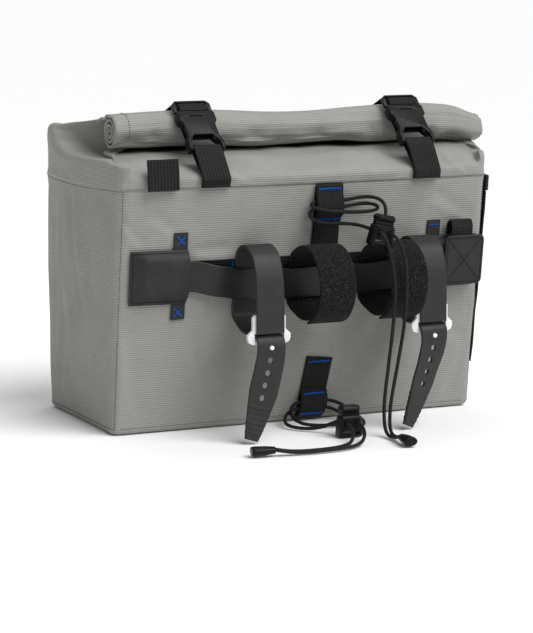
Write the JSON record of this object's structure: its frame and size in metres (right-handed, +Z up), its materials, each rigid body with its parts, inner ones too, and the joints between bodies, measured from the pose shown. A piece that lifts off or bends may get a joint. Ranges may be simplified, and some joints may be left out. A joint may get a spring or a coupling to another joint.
{
  "type": "bicycle handlebar bag",
  "caption": "Roll-top fabric handlebar bag with webbing closures, rubber and hook-and-loop bar loops, stiffening strip, side patches and cord locks.",
  "frame": {"origin": "middle of the bag's flat base, on the surface that it stands on", "axes": "+X along the bag's width towards the picture's right, +Y from the handlebar side to the far side, +Z up"},
  "size_m": [0.3713, 0.3089, 0.277],
  "materials": {
    "fabric": "matte",
    "webbing": "matte",
    "patch": "matte",
    "rubber": "satin",
    "plastic": "satin",
    "white": "gloss",
    "pile": "matte",
    "cord": "matte"
  },
  "bodies": {
    "bag": {"bag_body": "fabric", "collar": "fabric", "top_roll": "fabric", "closure_strap_1": "webbing", "closure_strap_2": "webbing", "buckle_female_1": "plastic", "buckle_female_2": "plastic", "buckle_male_1": "plastic", "buckle_male_2": "plastic", "buckle_tab_1": "webbing", "buckle_tab_2": "webbing", "seam_tab": "webbing", "side_strip": "webbing", "side_loop": "webbing", "left_pocket": "patch", "right_pocket": "patch", "right_flap": "patch", "right_flap_webbing": "webbing", "belt_webbing": "webbing", "batten": "rubber", "upper_centre_webbing": "webbing", "lower_centre_webbing": "webbing", "rubber_strap_1": "rubber", "rubber_strap_2": "rubber", "strap_buckle_1": "white", "strap_buckle_2": "white", "hook_loop_1": "pile", "hook_loop_2": "pile", "upper_cord": "cord", "lower_cord": "cord", "upper_lock_body": "plastic", "lower_lock_body": "plastic", "upper_cord_end": "plastic", "lower_cord_end": "plastic"},
    "upper_button": {"upper_lock_button": "plastic"},
    "lower_button": {"lower_lock_button": "plastic"}
  },
  "joints": [
    {"name": "upper_press", "type": "slide", "parent": "bag", "child": "upper_button", "axis": [-0.2079, 0, -0.9781], "range_m": [0, 0.002], "stiffness_N_per_m": 200},
    {"name": "lower_press", "type": "slide", "parent": "bag", "child": "lower_button", "axis": [0, 0, -1], "range_m": [0, 0.002], "stiffness_N_per_m": 200}
  ]
}
